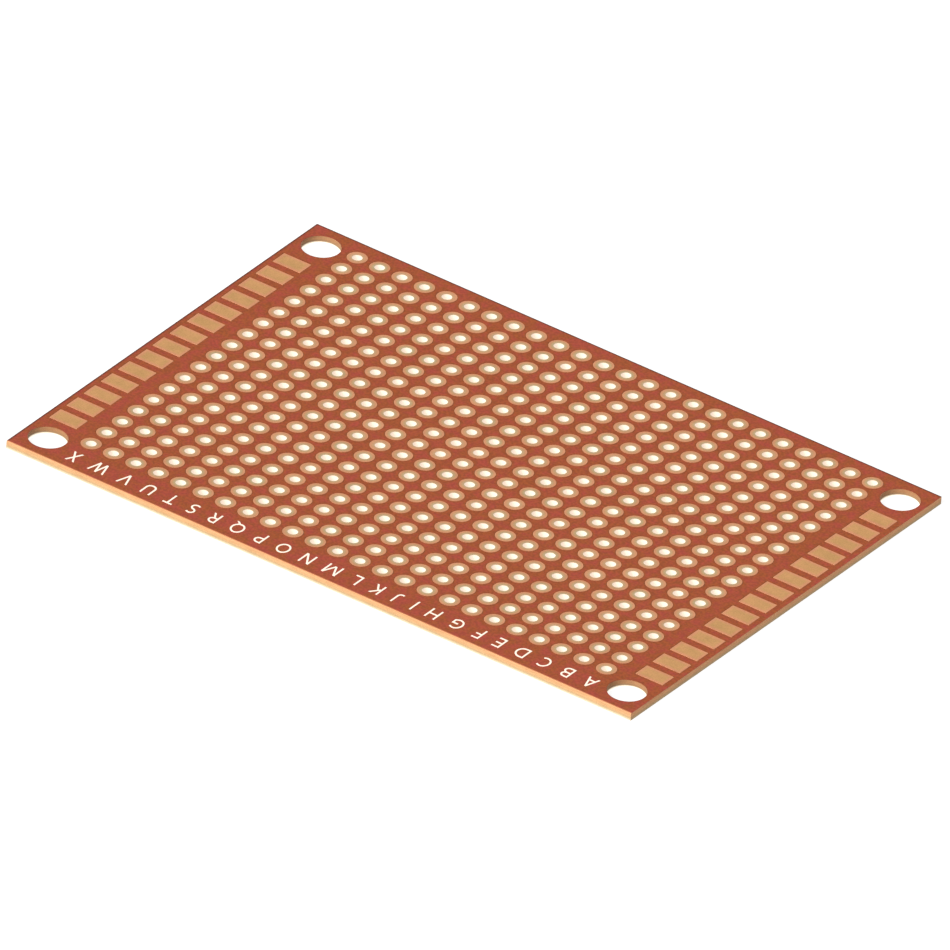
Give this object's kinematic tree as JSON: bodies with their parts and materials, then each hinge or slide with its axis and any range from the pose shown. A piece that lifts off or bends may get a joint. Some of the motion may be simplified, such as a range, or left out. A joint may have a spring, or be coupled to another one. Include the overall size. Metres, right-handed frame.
{
  "type": "prototype board",
  "caption": "Rigid perforated prototype board with round solder pads on a standard hole grid, bare edge contacts on both short sides and corner mounting holes.",
  "frame": {"origin": "centre of the panel's underside, which is the face it rests on", "axes": "+Z out of the copper side, +X along the long side towards the column marked A, +Y towards the long edge without letters"},
  "size_m": [0.0708, 0.0504, 0.0008],
  "materials": {
    "laminate": "matte",
    "lacquer": "satin",
    "copper": "satin",
    "ink": "matte"
  },
  "bodies": {
    "root": {"base_panel": "laminate", "solder_mask": "lacquer", "pad_column_a": "copper", "pad_column_b": "copper", "pad_column_c": "copper", "pad_column_d": "copper", "pad_column_e": "copper", "pad_column_f": "copper", "pad_column_g": "copper", "pad_column_h": "copper", "pad_column_i": "copper", "pad_column_j": "copper", "pad_column_k": "copper", "pad_column_l": "copper", "pad_column_m": "copper", "pad_column_n": "copper", "pad_column_o": "copper", "pad_column_p": "copper", "pad_column_q": "copper", "pad_column_r": "copper", "pad_column_s": "copper", "pad_column_t": "copper", "pad_column_u": "copper", "pad_column_v": "copper", "pad_column_w": "copper", "pad_column_x": "copper", "left_contact_01": "copper", "left_contact_02": "copper", "left_contact_03": "copper", "left_contact_04": "copper", "left_contact_05": "copper", "left_contact_06": "copper", "left_contact_07": "copper", "left_contact_08": "copper", "left_contact_09": "copper", "left_contact_10": "copper", "left_contact_11": "copper", "left_contact_12": "copper", "left_contact_13": "copper", "left_contact_14": "copper", "right_contact_01": "copper", "right_contact_02": "copper", "right_contact_03": "copper", "right_contact_04": "copper", "right_contact_05": "copper", "right_contact_06": "copper", "right_contact_07": "copper", "right_contact_08": "copper", "right_contact_09": "copper", "right_contact_10": "copper", "right_contact_11": "copper", "right_contact_12": "copper", "right_contact_13": "copper", "right_contact_14": "copper", "column_letters": "ink"}
  },
  "joints": []
}
